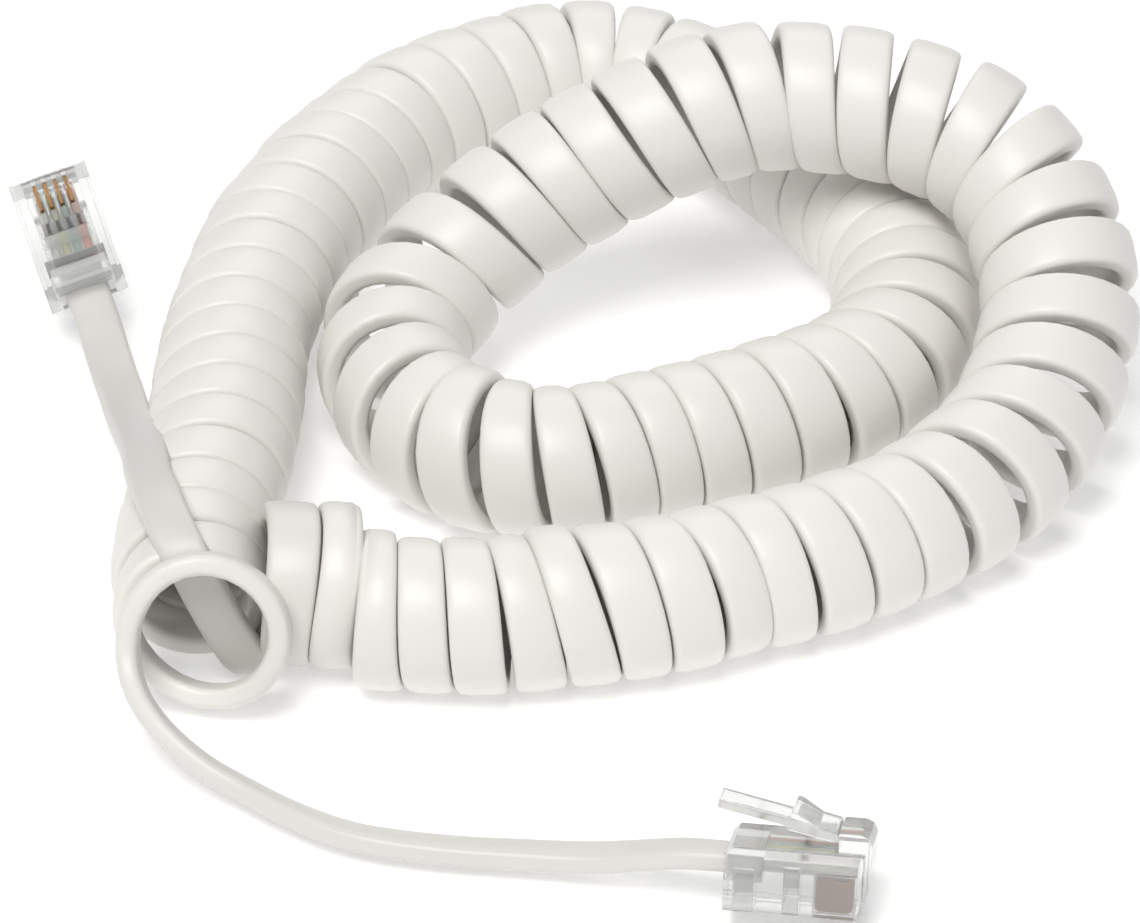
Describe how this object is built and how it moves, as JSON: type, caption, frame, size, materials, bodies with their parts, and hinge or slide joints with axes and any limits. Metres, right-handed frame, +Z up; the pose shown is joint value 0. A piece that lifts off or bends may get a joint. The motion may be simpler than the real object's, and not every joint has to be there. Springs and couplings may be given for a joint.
{
  "type": "coiled telephone handset cord",
  "caption": "White coiled telephone handset cord lying in a spiral loop, with a clear four-contact modular plug on each end.",
  "frame": {"origin": "on the table plane, under the middle of the cord's bounding box", "axes": "+Z up; -Y towards the side where the loose lead and its plug lie; +X towards the closed end of the loop"},
  "size_m": [0.105, 0.1352, 0.029],
  "materials": {
    "jacket": "satin",
    "clear": "gloss",
    "gold": "polished",
    "wire_white": "satin",
    "wire_red": "satin",
    "wire_green": "satin",
    "wire_yellow": "satin"
  },
  "bodies": {
    "cord": {"coil": "jacket", "lead_a": "jacket", "lead_b": "jacket", "plug_a_housing": "clear", "plug_a_strain_bar": "clear", "plug_a_wire_bar": "clear", "plug_a_contact_1": "gold", "plug_a_contact_2": "gold", "plug_a_contact_3": "gold", "plug_a_contact_4": "gold", "plug_a_wire_1": "wire_red", "plug_a_wire_2": "wire_green", "plug_a_wire_3": "wire_yellow", "plug_a_wire_4": "wire_white", "plug_b_housing": "clear", "plug_b_strain_bar": "clear", "plug_b_wire_bar": "clear", "plug_b_contact_1": "gold", "plug_b_contact_2": "gold", "plug_b_contact_3": "gold", "plug_b_contact_4": "gold", "plug_b_wire_1": "wire_red", "plug_b_wire_2": "wire_green", "plug_b_wire_3": "wire_yellow", "plug_b_wire_4": "wire_white"},
    "latch_a": {"plug_a_latch": "clear"},
    "latch_b": {"plug_b_latch": "clear"}
  },
  "joints": [
    {"name": "latch_a_press", "type": "hinge", "parent": "cord", "child": "latch_a", "pos_m": [-0.04748, 0.03367, 0.00688], "axis": [-0.9431, -0.2193, -0.2498], "range_deg": [0, 10], "stiffness_Nm_per_rad": 0.3},
    {"name": "latch_b_press", "type": "hinge", "parent": "cord", "child": "latch_b", "pos_m": [0.0231, -0.06137, 0.00807], "axis": [-0.1308, -0.9305, 0.342], "range_deg": [0, 10], "stiffness_Nm_per_rad": 0.3}
  ]
}
